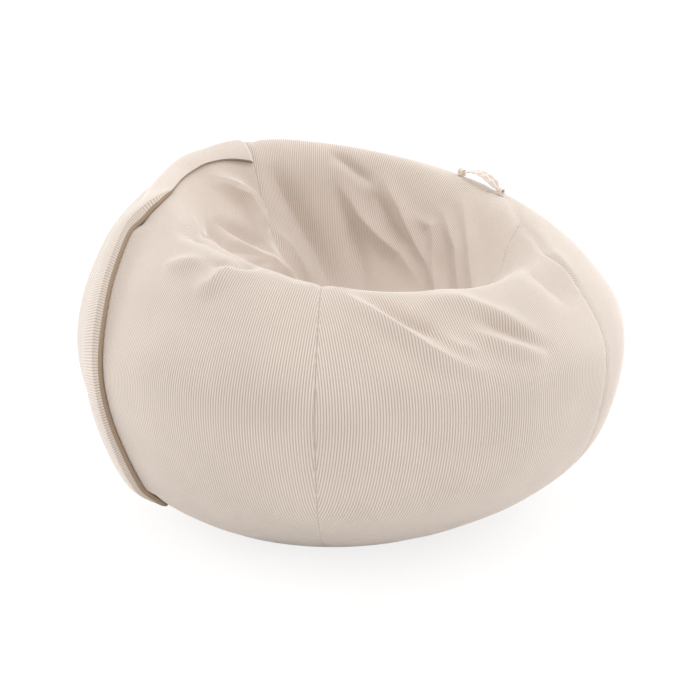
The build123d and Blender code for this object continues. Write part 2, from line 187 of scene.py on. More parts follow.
def ease(value, start, end):
    """Nought before start, one after end, and a smooth step between them."""
    share = np.clip((value - start) / (end - start), 0, 1)
    return share * share * (3 - 2 * share)


def arm_rise(azimuth, length):
    """How far the left arm's inner slope lies above the even ring form."""
    turned = (azimuth - arm_fade_rear[0]) % full_turn + arm_fade_rear[0]
    window = ease(turned, *arm_fade_rear) * ease(turned, *arm_fade_front)
    return window * np.maximum(smooth(ring_lengths, arm_lift, length), 0)


def bag_points(azimuth, length):
    """Points of the bag's surface, in millimetres, at azimuths and lengths along the profile."""
    values = [smooth(ring_lengths, column, length) for column in ring_columns.T]
    height, half_width, half_depth, back, rise = values
    side = np.sin(np.radians(azimuth))
    rear = -np.cos(np.radians(azimuth))
    shift = (pole_back - back) / half_depth
    slope = rear / half_depth
    square = (side / half_width) ** 2 + slope**2
    reach = (np.sqrt((slope * shift) ** 2 - square * (shift**2 - 1)) - slope * shift) / square
    y = pole_back + reach * rear
    z = height + rise * (y - back) + arm_rise(azimuth, length)
    return np.stack((reach * side, y, z), axis=-1)


def bag_normals(azimuth, length):
    """Outward normals of the bag's surface."""
    turn = 0.05
    step = 0.5
    low = np.clip(length - step, 0, profile_length)
    high = np.clip(length + step, 0, profile_length - 0.01)
    round_way = bag_points(azimuth + turn, length) - bag_points(azimuth - turn, length)
    up_way = bag_points(azimuth, high) - bag_points(azimuth, low)
    normal = np.cross(round_way, up_way)
    return normal / np.linalg.norm(normal, axis=-1, keepdims=True)


def length_at(place):
    return np.interp(place, np.arange(len(rings)), ring_lengths)


def seam_length(seam, azimuth):
    """The length along the profile at which a seam crosses azimuths."""
    azimuths, places = zip(*seam)
    return length_at(np.maximum(smooth(azimuths, places, np.clip(azimuth, azimuths[0], azimuths[-1])), 0.0))


def mean_radius(length):
    radii = (ring_columns[:, 1] + ring_columns[:, 2]) / 2
    return np.maximum(smooth(ring_lengths, radii, length), 6.0)


belly_length = length_at(3.0)
belly_radius = mean_radius(belly_length)
crest_radius = mean_radius(length_at(6.0))


def spread_radius(length, reference, easing):
    """The radius that spreads the wales of a panel: above the belly they draw together by easing."""
    radius = mean_radius(length)
    above = reference * (radius / reference) ** easing
    below = reference * (belly_radius / reference) ** easing * radius / belly_radius
    return np.where(length > belly_length, above, below)


def right_seat_azimuth(length):
    places, azimuths = zip(*right_seat_seam)
    return np.interp(length, length_at(np.array(places)), azimuths)


# Camera vectors and the photo's picture plane
view_azimuth = math.radians(camera_azimuth)
view_elevation = math.radians(camera_elevation)
camera_back = np.array((
    math.sin(view_azimuth) * math.cos(view_elevation),
    -math.cos(view_azimuth) * math.cos(view_elevation),
    math.sin(view_elevation),
))
camera_right = np.array((math.cos(view_azimuth), math.sin(view_azimuth), 0.0))
camera_up = np.cross(camera_back, camera_right)
camera_place = np.array(camera_target) + camera_back * camera_distance


def picture(points):
    """Where points in millimetres lie on the photo, in pixels."""
    ways = points * millimetre - camera_place
    depth = -ways @ camera_back
    across = image_middle[0] + focal_pixels * (ways @ camera_right) / depth
    down = image_middle[1] - focal_pixels * (ways @ camera_up) / depth
    return np.stack((across, down), axis=-1)


# Folds seen in the photo: a line on the picture, its half width in pixels and its height in millimetres
Fold = namedtuple("Fold", "line width height")
fold_gain = 2.3
fold_seam_gap = 14.0
inner_folds = {
    "back_crease_upper": Fold([(328, 151), (346, 162), (360, 174), (374, 186)], 6, -7),
    "back_crease_lower": Fold([(373, 193), (384, 210), (395, 228), (416, 252)], 6, -6),
    "back_ridge_left": Fold([(336, 178), (342, 189), (360, 217), (381, 239), (401, 255), (424, 290)], 9, 8),
    "back_ridge_middle": Fold([(378, 170), (386, 185), (401, 209), (414, 237), (428, 263), (442, 300)], 9, 8),
    "back_valley_long": Fold(
        [(270, 163), (280, 183), (299, 217), (318, 251), (327, 274), (336, 310)], 11, -10
    ),
    "back_valley_short": Fold([(332, 178), (339, 196), (353, 228), (360, 256), (366, 300)], 8, -8),
    "back_ridge_near": Fold([(262, 221), (287, 245), (304, 270), (318, 300)], 9, 7),
    "back_ridge_bent": Fold([(410, 212), (420, 220), (433, 227), (437, 252), (438, 280), (438, 320)], 7, 7),
    "back_ridge_right": Fold([(440, 205), (448, 224), (459, 250), (462, 278), (463, 320)], 7, 7),
    "back_ridge_far": Fold([(460, 192), (465, 210), (473, 252), (476, 278), (478, 320)], 7, 7),
}
arm_folds = {
    "left_ridge_upper": Fold([(206, 173), (234, 187), (259, 210), (268, 230)], 7, 9),
    "left_ridge_lower": Fold([(212, 182), (224, 187), (241, 199), (261, 223), (270, 240)], 6, 7),
    "left_valley_long": Fold([(172, 226), (184, 230), (206, 233), (241, 249), (270, 262)], 8, -12),
    "left_valley_short": Fold([(212, 220), (227, 226), (241, 233), (260, 244), (272, 256)], 6, -8),
    "left_crease": Fold([(209, 261), (217, 266), (231, 264), (270, 265)], 4, -7),
    "left_ridge_outer": Fold([(162, 268), (174, 267), (207, 261)], 8, 7),
    "left_ridge_low": Fold([(236, 262), (229, 270), (213, 286), (192, 292)], 9, 7),
    "left_horizon": Fold([(226, 236), (240, 242), (265, 259), (280, 269), (296, 276)], 7, 8),
    "front_ridge_long": Fold(
        [(329, 289), (352, 301), (373, 313), (400, 332), (430, 352), (463, 367), (495, 374)], 9, 9
    ),
    "front_valley_long": Fold([(345, 291), (375, 304), (405, 321), (440, 338), (470, 350)], 7, -6),
    "right_ridge_upper": Fold([(416, 298), (458, 302), (503, 319), (549, 344)], 9, 8),
    "right_ridge_middle": Fold([(428, 330), (460, 347), (484, 354)], 7, 6),
    "right_ridge_lower": Fold([(465, 330), (506, 347), (549, 356)], 8, 7),
    "right_valley_upper": Fold([(470, 316), (510, 331), (556, 352)], 7, -6),
    "right_corner_fold": Fold([(513, 196), (515, 210), (517, 224)], 4, -8),
    "right_arm_ridge": Fold([(530, 240), (556, 262), (580, 292)], 8, 6),
    "right_arm_valley": Fold([(515, 262), (545, 280), (575, 310)], 8, -5),
}


def line_shape(spots, line):
    """The distance in pixels from spots on the picture to a line, and how full the fold is beside them."""
    line = np.array(line, float)
    steps = np.linalg.norm(np.diff(line, axis=0), axis=1)
    begun = np.concatenate(([0.0], np.cumsum(steps)))
    best = np.full(len(spots), 1e6)
    place = np.zeros(len(spots))
    for start, end, step, before in zip(line, line[1:], steps, begun):
        share = np.clip((spots - start) @ (end - start) / step**2, 0, 1)
        away = np.linalg.norm(spots - start - share[:, None] * (end - start), axis=1)
        nearer = away < best
        best = np.where(nearer, away, best)
        place = np.where(nearer, (before + share * step) / begun[-1], place)
    return best, np.clip(4 * place * (1 - place), 0, 1) ** 1.1


def fold_heights(points, normals, folds):
    """How far folds lift the surface at points that face the camera."""
    spots = picture(points)
    ways = camera_place - points * millimetre
    facing = np.einsum("ij,ij->i", normals, ways / np.linalg.norm(ways, axis=1, keepdims=True))
    shown = np.clip(facing * 5, 0, 1)
    total = np.zeros(len(points))
    for fold in folds.values():
        away, full = line_shape(spots, fold.line)
        away = away / fold.width
        total += fold_gain * fold.height * full * (0.75 * np.exp(-(away**2)) + 0.25 * np.exp(-2.2 * away))
    return total * shown


def lumps(points):
    """Slow swells of the filling, in millimetres."""
    x, y, z = points.T
    return (
        2.2 * np.sin(x / 71 + 0.6) * np.sin(y / 83 + 1.9) * np.sin(z / 67 + 0.3)
        + 1.6 * np.sin(x / 39 + 2.1) * np.sin(y / 47 + 0.4) * np.sin(z / 43 + 1.2)
    )


def along(azimuths, lengths):
    """How far along a line on the bag each of its points lies, in millimetres."""
    points = bag_points(azimuths, lengths)
    steps = np.linalg.norm(np.diff(points, axis=0), axis=1)
    return np.concatenate(([0.0], np.cumsum(steps)))


def zip_line(step):
    """Azimuths, lengths and distances of even steps along the zip seam, from the top corner to the floor."""
    azimuths = np.linspace(zip_seam[0][0], zip_seam[-1][0], 3000)
    lengths = seam_length(zip_seam, azimuths)
    distances = along(azimuths, lengths)
    evenly = np.arange(0.0, distances[-1], step)
    return np.interp(evenly, distances, azimuths), np.interp(evenly, distances, lengths), evenly


def zip_circle():
    """Points along the middle of the zip, in millimetres."""
    axis = zip_axis / np.linalg.norm(zip_axis)
    level = np.array((axis[1], -axis[0], 0.0))
    level /= np.linalg.norm(level)
    down = np.cross(axis, level)
    angles = np.radians(np.linspace(zip_first_angle, zip_last_angle, 400))[:, None]
    return zip_middle + zip_radius * (np.cos(angles) * level + np.sin(angles) * down)


def zip_rise(azimuths, lengths):
    """Beside points of the seam: how far the zip stands off, how much of it is there and the way to it."""
    circle = zip_circle()
    points = bag_points(azimuths, lengths)
    normals = bag_normals(azimuths, lengths)
    nearest = np.linalg.norm(points[:, None, :] - circle[None, :, :], axis=2).argmin(axis=1)
    way = circle[nearest] - points
    height = np.einsum("ij,ij->i", way, normals)
    share = nearest / (len(circle) - 1)
    present = ease(share, 0.0, zip_end_share) * ease(share, 1.0, 1 - zip_end_share)
    return np.maximum(height, 0.0) * present, present, way


def seam_spots():
    """Points along every seam, in millimetres, and how far the zip lifts the cover at each."""
    spots = []
    swells = []
    for azimuth, first in ((front_azimuth, 0.0), (left_azimuth, left_corner_place)):
        lengths = np.arange(length_at(first), profile_length - middle_gap, 2.0)
        spots.append(bag_points(np.full_like(lengths, azimuth), lengths))
    lengths = np.arange(length_at(right_corner_place), profile_length - middle_gap, 2.0)
    spots.append(bag_points(right_seat_azimuth(lengths), lengths))
    lengths = np.arange(0.0, length_at(back_corner_place), 4.0)
    spots.append(bag_points(np.full_like(lengths, back_azimuth), lengths))
    for seam in (right_seam, right_back_seam, left_back_seam):
        azimuths = np.linspace(seam[0][0], seam[-1][0], line_samples)
        spots.append(bag_points(azimuths, seam_length(seam, azimuths)))
    swells.append(np.zeros(sum(len(points) for points in spots)))
    azimuths, lengths, distances = zip_line(2.0)
    spots.append(bag_points(azimuths, lengths))
    swells.append(np.maximum(zip_rise(azimuths, lengths)[0] - zip_sink, 0.0))
    return np.concatenate(spots), np.concatenate(swells)


def seam_tree(spots):
    tree = KDTree(len(spots))
    for index, spot in enumerate(spots):
        tree.insert(spot, index)
    tree.balance()
    return tree


seam_points, seam_swells = seam_spots()
seams = seam_tree(seam_points)


def new_mesh(name, points, faces, material, values=None):
    """A mesh object from points in millimetres and faces of point numbers, with named values per point."""
    mesh = bpy.data.meshes.new(name)
    points = np.asarray(points, float) * millimetre
    faces = np.asarray(faces, np.int32)
    sides = faces.shape[1]
    mesh.vertices.add(len(points))
    mesh.vertices.foreach_set("co", points.astype(np.float32).ravel())
    mesh.loops.add(faces.size)
    mesh.loops.foreach_set("vertex_index", faces.ravel())
    mesh.polygons.add(len(faces))
    mesh.polygons.foreach_set("loop_start", np.arange(0, faces.size, sides, dtype=np.int32))
    mesh.update(calc_edges=True)
    mesh.polygons.foreach_set("use_smooth", np.ones(len(faces), bool))
    for key, numbers in (values or {}).items():
        layer = mesh.attributes.new(key, "FLOAT", "POINT")
        layer.data.foreach_set("value", np.asarray(numbers, np.float32))
    mesh.validate()
    mesh.materials.append(material)
    piece = bpy.data.objects.new(name, mesh)
    bpy.context.scene.collection.objects.link(piece)
    return piece


def grid_faces(keep, rows):
    """Quads of a grid of columns by rows, between neighbouring columns that both stay."""
    first = np.nonzero(keep[:-1] & keep[1:])[0]
    start = first[:, None] * rows + np.arange(rows - 1)[None, :]
    quads = np.stack((start, start + rows, start + rows + 1, start + 1), axis=-1)
    return quads.reshape(-1, 4)


def round_patch(samples):
    """Azimuths, shares of the radius and quads of a round patch without a pole, its face up."""
    side = np.linspace(-1, 1, samples)
    right, ahead = (grid.ravel() for grid in np.meshgrid(side, side, indexing="ij"))
    east = right * np.sqrt(1 - ahead**2 / 2)
    north = ahead * np.sqrt(1 - right**2 / 2)
    azimuth = np.degrees(np.arctan2(east, -north))
    return azimuth, np.hypot(east, north), grid_faces(np.ones(samples, bool), samples)


def dressed(azimuth, length, phase, folds):
    """Surface points with wales, seams, folds and swells, each wale's height and how far the seam is."""
    points = bag_points(azimuth, length)
    normals = bag_normals(azimuth, length)
    ridge = 0.5 + 0.5 * np.cos(2 * np.pi * phase)
    found = [seams.find(point) for point in points]
    distance = np.array([hit[2] for hit in found])
    swell = seam_swells[[hit[1] for hit in found]] * np.exp(-((distance / zip_swell_width) ** 2))
    pull = np.exp(-((distance / seam_width) ** 2))
    ridge = ridge * np.clip(distance / wale_seam_fade, 0, 1)
    lift = wale_height * (np.sqrt(ridge) - wale_level)
    lift += lumps(points) * (1 - pull) - seam_depth * pull
    fold_share = 1 - np.exp(-((distance / fold_seam_gap) ** 2))
    lift += fold_heights(points, normals, folds) * fold_share + swell
    lift = lift * np.clip(points[:, 2] / floor_fade, 0, 1)
    moved = points + normals * lift[:, None]
    moved[:, 2] = np.maximum(moved[:, 2], panel_floor_gap)
    return moved, ridge, distance


def upright_panel(name, middle, left, right, low, high, spread, folds):
    """A panel whose wales run up the bag from an azimuth in its middle, each one pitch from the next."""
    step = wale_pitch / wale_samples
    lengths = np.linspace(0.0, profile_length - middle_gap, line_samples)
    radius = spread_radius(lengths, *spread)
    overlap = np.degrees(seam_overlap / mean_radius(lengths))
    first_azimuth = left(lengths) - overlap
    last_azimuth = right(lengths) + overlap
    least = math.floor((np.radians(first_azimuth - middle) * radius).min() / step)
    most = math.ceil((np.radians(last_azimuth - middle) * radius).max() / step)
    offsets = np.arange(least, most + 1) * step
    starts = np.zeros(len(offsets))
    ends = np.zeros(len(offsets))
    keep = np.zeros(len(offsets), bool)
    for index, offset in enumerate(offsets):
        azimuths = middle + np.degrees(offset / radius)
        inside = (azimuths > first_azimuth) & (azimuths < last_azimuth)
        inside &= (lengths >= low(azimuths) - seam_overlap) & (lengths <= high(azimuths) + seam_overlap)
        edges = np.flatnonzero(np.diff(np.concatenate(([0], inside.astype(int), [0]))))
        if len(edges) == 0:
            continue
        first, last = max(edges.reshape(-1, 2), key=lambda run: run[1] - run[0])
        starts[index] = lengths[first]
        ends[index] = lengths[last - 1]
        keep[index] = last - first > 1
    share = np.linspace(0, 1, panel_rows)
    length = starts[:, None] + (ends - starts)[:, None] * share[None, :]
    azimuth = middle + np.degrees(offsets[:, None] / spread_radius(length, *spread))
    phase = np.repeat(offsets / wale_pitch, panel_rows)
    faces = grid_faces(keep, panel_rows)
    used = np.unique(faces)
    number = np.zeros(azimuth.size, np.int32)
    number[used] = np.arange(len(used))
    azimuth = azimuth.ravel()[used]
    length = length.ravel()[used]
    phase = phase[used]
    faces = number[faces]
    if name == middle_panel:
        patch_azimuth, patch_share, patch_faces = round_patch(patch_samples)
        faces = np.concatenate((faces, patch_faces + len(azimuth)))
        azimuth = np.concatenate((azimuth, patch_azimuth))
        length = np.concatenate((length, profile_length - 0.05 - 2 * middle_gap * patch_share))
        phase = np.concatenate((phase, np.zeros(len(patch_share))))
    return dressed_mesh(name, azimuth, length, phase, folds, faces)


def dressed_mesh(name, azimuth, length, phase, folds, faces):
    points, ridge, distance = dressed(azimuth, length, phase, folds)
    return new_mesh(name, points, faces, cord, {"ridge": ridge, "edge": distance})


def crossing_panel(name, folds):
    """The panel behind the zip, its wales square to the zip seam and running round to the back seams."""
    near_azimuth, near_length, distance = zip_line(wale_pitch / wale_samples)
    seam_azimuths = np.linspace(left_azimuth + full_turn, back_azimuth, 600)
    down_lengths = np.linspace(length_at(back_corner_place), 0.0, 600)
    far_azimuths = np.concatenate((seam_azimuths, np.full_like(down_lengths, back_azimuth)))
    far_lengths = np.concatenate((seam_length(left_back_seam, seam_azimuths), down_lengths))
    far_distances = along(far_azimuths, far_lengths)
    share = distance / distance[-1] * far_distances[-1]
    far_azimuth = np.interp(share, far_distances, far_azimuths)
    far_length = np.interp(share, far_distances, far_lengths)
    rows = np.linspace(-crossing_overlap, 1 + crossing_overlap, panel_rows)
    azimuth = near_azimuth[:, None] + full_turn + (far_azimuth - near_azimuth - full_turn)[:, None] * rows
    length = np.maximum(near_length[:, None] + (far_length - near_length)[:, None] * rows, 0.0)
    phase = np.repeat(distance / wale_pitch, panel_rows)
    faces = grid_faces(np.ones(len(distance), bool), panel_rows)[:, ::-1]
    return dressed_mesh(name, azimuth.ravel(), length.ravel(), phase, folds, faces)


# Materials
def link(tree, start, end):
    tree.links.new(start, end)


def multiply_node(tree, colour, factor):
    """A colour made darker or lighter by a factor."""
    node = tree.nodes.new("ShaderNodeMix")
    node.data_type = "RGBA"
    node.blend_type = "MULTIPLY"
    node.inputs["Factor"].default_value = 1.0
    link(tree, colour, node.inputs["A"])
    link(tree, factor, node.inputs["B"])
    return node


def cord_material(name, ridge_colour, shaded_valley_colour):
    """Cord pile: lighter wales, darker valleys between them as painted shade in the grooves, soft blotches of
    nap and a fine pile.
    """
    material = bpy.data.materials.new(name)
    material.use_nodes = True
    tree = material.node_tree
    shader = tree.nodes["Principled BSDF"]
    shader.inputs["Roughness"].default_value = 0.92
    shader.inputs["Specular IOR Level"].default_value = 0.15
    shader.inputs["Sheen Weight"].default_value = 0.9
    shader.inputs["Sheen Roughness"].default_value = 0.5
    shader.inputs["Sheen Tint"].default_value = (1.0, 0.96, 0.92, 1.0)
    ridge = tree.nodes.new("ShaderNodeAttribute")
    ridge.attribute_name = "ridge"
    place = tree.nodes.new("ShaderNodeTexCoord")
    blotch = tree.nodes.new("ShaderNodeTexNoise")
    blotch.inputs["Scale"].default_value = 7.0
    blotch.inputs["Detail"].default_value = 3.0
    pile = tree.nodes.new("ShaderNodeTexNoise")
    pile.inputs["Scale"].default_value = 900.0
    pile.inputs["Detail"].default_value = 2.0
    link(tree, place.outputs["Object"], blotch.inputs["Vector"])
    link(tree, place.outputs["Object"], pile.inputs["Vector"])
    # The valley colour is painted shade for the grooves between the wales
    wale = tree.nodes.new("ShaderNodeMix")
    wale.data_type = "RGBA"
    wale.inputs["A"].default_value = (*shaded_valley_colour, 1.0)
    wale.inputs["B"].default_value = (*ridge_colour, 1.0)
    soft = tree.nodes.new("ShaderNodeMath")
    soft.operation = "POWER"
    soft.inputs[1].default_value = 0.75
    link(tree, ridge.outputs["Fac"], soft.inputs[0])
    link(tree, soft.outputs["Value"], wale.inputs["Factor"])
    nap = tree.nodes.new("ShaderNodeMapRange")
    nap.inputs["From Min"].default_value = 0.35
    nap.inputs["From Max"].default_value = 0.65
    nap.inputs["To Min"].default_value = 0.955
    nap.inputs["To Max"].default_value = 1.02
    link(tree, blotch.outputs["Fac"], nap.inputs["Value"])
    tone = multiply_node(tree, wale.outputs["Result"], nap.outputs["Result"])
    seam = tree.nodes.new("ShaderNodeAttribute")
    seam.attribute_name = "edge"
    line = tree.nodes.new("ShaderNodeMapRange")
    line.inputs["From Max"].default_value = 2.6
    line.inputs["To Min"].default_value = 0.84
    line.inputs["To Max"].default_value = 1.0
    link(tree, seam.outputs["Fac"], line.inputs["Value"])
    sewn = multiply_node(tree, tone.outputs["Result"], line.outputs["Result"])
    link(tree, sewn.outputs["Result"], shader.inputs["Base Color"])
    bump = tree.nodes.new("ShaderNodeBump")
    bump.inputs["Strength"].default_value = 0.25
    bump.inputs["Distance"].default_value = 0.0006
    link(tree, pile.outputs["Fac"], bump.inputs["Height"])
    link(tree, bump.outputs["Normal"], shader.inputs["Normal"])
    return material


def fine_tone_group():
    """A node group that changes finely between two colours over the object."""
    group = bpy.data.node_groups.new("fine_tone", "ShaderNodeTree")
    group.interface.new_socket("Colour", in_out="INPUT", socket_type="NodeSocketColor")
    group.interface.new_socket("Other", in_out="INPUT", socket_type="NodeSocketColor")
    group.interface.new_socket("Scale", in_out="INPUT", socket_type="NodeSocketFloat")
    group.interface.new_socket("Tone", in_out="OUTPUT", socket_type="NodeSocketColor")
    given = group.nodes.new("NodeGroupInput")
    result = group.nodes.new("NodeGroupOutput")
    place = group.nodes.new("ShaderNodeTexCoord")
    grain = group.nodes.new("ShaderNodeTexNoise")
    mixed = group.nodes.new("ShaderNodeMix")
    mixed.data_type = "RGBA"
    link(group, place.outputs["Object"], grain.inputs["Vector"])
    link(group, given.outputs["Scale"], grain.inputs["Scale"])
    link(group, grain.outputs["Fac"], mixed.inputs["Factor"])
    link(group, given.outputs["Colour"], mixed.inputs["A"])
    link(group, given.outputs["Other"], mixed.inputs["B"])
    link(group, mixed.outputs["Result"], result.inputs["Tone"])
    return group


fine_tone = fine_tone_group()


def plain_material(name, colour, other, scale, roughness, metallic=0.0):
    """A simple material with a fine change of tone."""
    material = bpy.data.materials.new(name)
    material.use_nodes = True
    tree = material.node_tree
    shader = tree.nodes["Principled BSDF"]
    shader.inputs["Roughness"].default_value = roughness
    shader.inputs["Metallic"].default_value = metallic
    tone = tree.nodes.new("ShaderNodeGroup")
    tone.node_tree = fine_tone
    tone.inputs["Colour"].default_value = (*colour, 1.0)
    tone.inputs["Other"].default_value = (*other, 1.0)
    tone.inputs["Scale"].default_value = scale
    link(tree, tone.outputs["Tone"], shader.inputs["Base Color"])
    return material


# The second colour is painted shade in the grooves between the wales
cord = cord_material("cord", (0.735, 0.652, 0.590), (0.42, 0.335, 0.272))
tape_cloth = plain_material("zip_tape_cloth", (0.62, 0.52, 0.42), (0.50, 0.41, 0.32), 900.0, 0.85)
coil_plastic = plain_material("zip_coil_plastic", (0.60, 0.51, 0.41), (0.54, 0.45, 0.36), 300.0, 0.45)
zip_paint = plain_material("zip_paint", (0.55, 0.47, 0.38), (0.50, 0.42, 0.34), 200.0, 0.35, 0.6)
label_cloth = plain_material("label_cloth", (0.88, 0.88, 0.86), (0.82, 0.82, 0.80), 1500.0, 0.7)
webbing = plain_material("webbing", (0.74, 0.66, 0.59), (0.64, 0.555, 0.48), 1200.0, 0.9)
# Dark brown painted shade for the flap's underside and hem and for the placket, where the gap beneath the
# flap lies in shade
shaded_gap_cloth = plain_material("shaded_gap_cloth", (0.40, 0.30, 0.215), (0.34, 0.25, 0.18), 700.0, 0.9)


# Panels
def floor_line(azimuth):
    return np.zeros_like(azimuth)


def middle_line(azimuth):
    return np.full_like(azimuth, profile_length - middle_gap)


def left_front_low(azimuth):
    return np.where(azimuth < zip_seam[-1][0], seam_length(zip_seam, azimuth), 0.0)


def right_front_low(azimuth):
    return np.where(azimuth > right_seam[0][0], seam_length(right_seam, azimuth), 0.0)


def right_rear_high(azimuth):
    front = seam_length(right_seam, azimuth)
    back = seam_length(right_back_seam, azimuth)
    return np.where(azimuth < right_azimuth, front, back)


def seat_back_low(azimuth):
    right = seam_length(right_back_seam, azimuth)
    left = seam_length(left_back_seam, azimuth)
    return np.where(azimuth < back_azimuth, right, left)


def left_seat_line(length):
    return np.full_like(length, left_azimuth)


def front_line(length):
    return np.full_like(length, front_azimuth)


def right_edge_line(length):
    return np.full_like(length, back_azimuth)


def right_floor_line(length):
    return np.full_like(length, right_seam[0][0])


def left_back_line(length):
    return np.full_like(length, left_azimuth + full_turn)


left_front = upright_panel(
    "left_front_cord", -70.0, left_seat_line, front_line, left_front_low, middle_line,
    (belly_radius, 0.35), arm_folds
)
right_front = upright_panel(
    "right_front_cord", -8.0, front_line, right_seat_azimuth, right_front_low, middle_line,
    (belly_radius, 0.45), arm_folds
)
seat_back = upright_panel(
    middle_panel, 112.0, right_seat_azimuth, left_back_line, seat_back_low, middle_line,
    (crest_radius, 0.25), inner_folds
)
right_rear = upright_panel(
    "right_rear_cord", 80.0, right_floor_line, right_edge_line, floor_line, right_rear_high,
    (belly_radius, 1.0), arm_folds
)
left_rear = crossing_panel("left_rear_cord", {})
for piece, place in (
    (left_front, "left_front"),
    (right_front, "right_front"),
    (seat_back, "seat_back"),
    (right_rear, "right_rear"),
    (left_rear, "left_rear"),
):
    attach(piece, "bag")
    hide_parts(f"{place}_panel", f"{place}_liner")
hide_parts("bead_filling", "base_liner")


def strip_faces(columns, rows):
    return grid_faces(np.ones(columns, bool), rows)


# Zip flap: it leaves the rear panel, passes over the zip and ends in a hem turned down to the bag; its hem
# and underside carry painted shade, a dark brown for the shaded gap under the flap
def rolling_mean(values, width):
    padded = np.pad(values, width, mode="edge")
    return np.convolve(padded, np.ones(2 * width + 1) / (2 * width + 1), mode="valid")


def flap_stations(step):
    """Places along the zip seam, the turn and climb of one millimetre square to it, and the zip there."""
    azimuths, lengths, distances = zip_line(step)
    stay = lengths > length_at(flap_foot_place)
    azimuths = azimuths[stay]
    lengths = lengths[stay]
    distances = distances[stay]
    points = bag_points(azimuths, lengths)
    radius = np.hypot(points[:, 0], points[:, 1] - pole_back)
    around = np.gradient(np.radians(azimuths), distances) * radius
    upward = np.gradient(lengths, distances)
    size = np.hypot(around, upward)
    width = max(int(flap_way_smoothing / step), 1)
    turn = rolling_mean(np.degrees(-upward / size / radius), width)
    climb = rolling_mean(around / size, width)
    rises, present, way = zip_rise(azimuths, lengths)
    front = bag_points(azimuths + turn, lengths + climb) - points
    front /= np.linalg.norm(front, axis=1, keepdims=True)
    aside = rolling_mean(np.einsum("ij,ij->i", way, front) * present, width)
    return azimuths, lengths, distances, turn, climb, rises, present, aside


def eased_up(values, width):
    """Values widened to their largest neighbours and then smoothed, so that none gets lower."""
    padded = np.pad(values, width, mode="edge")
    largest = np.lib.stride_tricks.sliding_window_view(padded, 2 * width + 1).max(axis=1)
    return rolling_mean(largest, width)


def strip_points(azimuths, lengths, turn, climb, across, height):
    """Points beside the zip seam, so far across it and so high over the bag."""
    azimuth = azimuths[:, None] + turn[:, None] * across
    length = np.clip(lengths[:, None] + climb[:, None] * across, 0.0, None)
    points = bag_points(azimuth.ravel(), length.ravel())
    normals = bag_normals(azimuth.ravel(), length.ravel())
    points = points + normals * height.ravel()[:, None]
    points[:, 2] = np.maximum(points[:, 2], flap_floor_gap)
    return points


def flap_piece():
    step = wale_pitch / wale_samples
    azimuths, lengths, distances, turn, climb, rises, present, aside = flap_stations(step)
    wanted = smooth(*zip(*flap_reaches), distances)
    reach = rolling_mean(np.maximum(wanted, aside + flap_zip_reach), int(flap_reach_smoothing / step))
    ridge = np.abs(np.cos(np.pi * distances / wale_pitch))
    waves = ease(distances, *flap_wave_fade)
    top = eased_up(flap_height + (flap_zip_height - flap_height) * present + rises, int(flap_ease / step))
    top = top + flap_top_wave * np.sin(distances / flap_top_wave_length) * waves
    rising = ease(lengths, length_at(flap_foot_place), length_at(flap_foot_place + flap_foot_rise))
    top = top * (flap_foot_share + (1 - flap_foot_share) * rising)
    foot_left = np.clip((distances[-1] - distances) / flap_foot_round, 0, 1)
    foot = np.sqrt(1 - (1 - foot_left) ** 2)
    top = top * foot * ease(distances, *flap_start_fade)
    edge = reach + flap_edge_wave * np.sin(distances / flap_edge_wave_length + 0.7) * waves
    edge = edge * (0.25 + 0.75 * foot)
    pile = wale_height * (ridge - 0.6)
    hem_points = bag_points(azimuths + turn * edge, np.clip(lengths + climb * edge, 0.0, None))
    low = np.maximum(rises - zip_sink, 0.0) * np.exp(-((edge / zip_swell_width) ** 2))
    low += lumps(hem_points) * (1 - np.exp(-((edge / seam_width) ** 2))) + flap_hem_gap
    low = np.minimum(rolling_mean(low, int(flap_hem_smoothing / step)), top - 1.0)
    turned = np.minimum(low + flap_hem_height, top - 1.0)
    none = 0 * edge
    rows = [
        (none - flap_root, none - 2.0), (none - 0.75 * flap_root, 0.15 * top),
        (none - 0.5 * flap_root, 0.5 * top + pile), (none - 0.25 * flap_root, 0.84 * top + pile),
        (none, top + pile), (0.5 * edge, top + pile + 0.4),
        (edge - 2.4, top + pile), (edge - 0.6 + pile * 0.5, top - 0.5 + pile),
        (edge + pile * 0.8, turned + 0.8), (edge + 0.1, turned), (edge + 0.4, 0.5 * (turned + low)),
        (edge + 0.2, low + 0.6), (edge - 1.2, low),
        (edge - 2.8, low + 1.0), (edge - 3.2, 0.5 * (top + low)), (edge - 4.0, top - flap_thickness),
        (0.5 * edge, top - flap_thickness), (none, top - flap_thickness - 1.0),
    ]
    hem_row = 8
    across = np.stack([row[0] for row in rows], axis=1)
    height = np.stack([row[1] for row in rows], axis=1)
    points = strip_points(azimuths, lengths, turn, climb, across, height)
    shade = np.repeat(ridge, len(rows))
    faces = strip_faces(len(azimuths), len(rows))
    values = {"ridge": shade, "edge": far_from_seam + 0 * shade}
    piece = new_mesh("zip_flap_cord", points, faces, cord, values)
    # The hem and underside rows get the dark brown painted shade of the gap under the flap
    piece.data.materials.append(shaded_gap_cloth)
    shaded_gap_faces = (faces[:, 0] % len(rows)) >= hem_row
    piece.data.polygons.foreach_set("material_index", shaded_gap_faces.astype(np.int32))
    return piece, distances[-1] - distances[0]


def placket_piece():
    """The flat strip under the flap that the zip lies on; its dark brown colour is painted shade for the gap
    under the flap.
    """
    azimuths, lengths, distances, turn, climb, rises, present, aside = flap_stations(4.0)
    across = np.array((-22.0, -19.0, 0.0, 13.0, 15.5))
    height = np.array((-2.5, -0.4, -0.3, -0.4, -2.5))
    weave = rises - 0.3 + 0.15 * np.sin(distances / 3.0)
    points = strip_points(azimuths, lengths, turn, climb, across + aside[:, None], height + weave[:, None])
    return new_mesh("zip_placket_cloth", points, strip_faces(len(azimuths), len(across)), shaded_gap_cloth)


